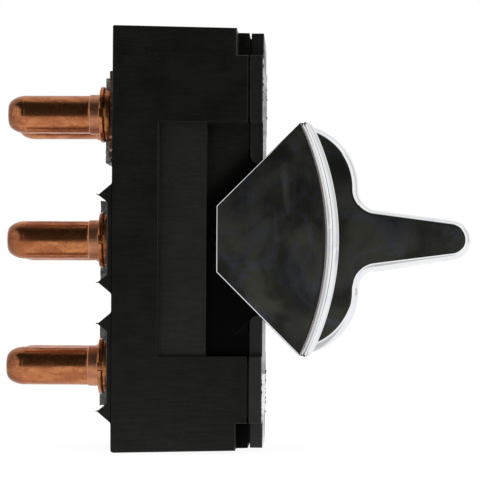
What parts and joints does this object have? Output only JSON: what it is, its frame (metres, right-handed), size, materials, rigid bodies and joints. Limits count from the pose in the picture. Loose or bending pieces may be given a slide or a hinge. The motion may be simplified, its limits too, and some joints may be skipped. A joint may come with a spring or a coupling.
{
  "type": "lever rocker switch",
  "caption": "Plug-in momentary rocker switch: black case, round copper terminals at the back and a chromed fan-shaped lever with a finger paddle, sprung to the middle.",
  "frame": {"origin": "centre of the case back face, on the axis midway between the middle terminals", "axes": "+X out of the front towards the tip of the lever, +Z along the tall side of the case and the three rows of terminals, Y across the width and along the pivot pin"},
  "size_m": [0.0463, 0.021, 0.0422],
  "materials": {
    "case_plastic": "satin black moulded phenolic",
    "plate_board": "satin black punched board",
    "gasket_rubber": "matte black",
    "steel": "bright zinc plated",
    "brass": "plain",
    "spring_steel": "bright drawn wire",
    "fibre_board": "brown fibre board",
    "chrome": "mirror polished",
    "core_plastic": "satin black moulded nylon",
    "natural_nylon": "natural moulded nylon",
    "dark_copper": "tarnished copper",
    "copper": "polished copper with fine pits",
    "strip_copper": "pinkish copper sheet",
    "grey_insulator": "grey moulded insulator"
  },
  "bodies": {
    "housing": {"case": "case_plastic", "front_plate": "plate_board", "gasket_upper": "gasket_rubber", "gasket_lower": "gasket_rubber", "plate_screws": "steel", "guide_plate": "fibre_board", "pivot_pin": "steel", "return_spring_upper": "spring_steel", "return_spring_lower": "spring_steel", "spring_cup_upper": "brass", "spring_cup_lower": "brass", "terminal_top_left": "copper", "terminal_top_right": "copper", "terminal_middle_left": "copper", "terminal_middle_right": "copper", "terminal_bottom_left": "copper", "terminal_bottom_right": "copper", "terminal_washers": "dark_copper", "bus_strip": "strip_copper", "insulator_top": "grey_insulator", "insulator_middle": "grey_insulator", "insulator_bottom": "grey_insulator"},
    "lever": {"lever_cap": "chrome", "lever_core": "core_plastic", "pivot_bush_left": "brass", "pivot_bush_right": "brass"},
    "carriage": {"carriage": "natural_nylon", "contact_bridge_left": "copper", "contact_bridge_right": "copper", "contact_spring_left_upper": "spring_steel", "contact_spring_left_lower": "spring_steel", "contact_spring_right_upper": "spring_steel", "contact_spring_right_lower": "spring_steel"}
  },
  "joints": [
    {"name": "lever_hinge", "type": "hinge", "parent": "housing", "child": "lever", "pos_m": [0.0126, 0, 0], "axis": [0, -1, 0], "range_deg": [-14, 14], "stiffness_Nm_per_rad": 0.08},
    {"name": "carriage_slide", "type": "slide", "parent": "housing", "child": "carriage", "axis": [0, 0, 1], "range_m": [-0.00197, 0.00197], "deforming": ["return_spring_upper", "return_spring_lower"]}
  ],
  "couplings": [
    {"joint": "carriage_slide", "follows": "lever_hinge", "m_per_rad": -0.008}
  ]
}
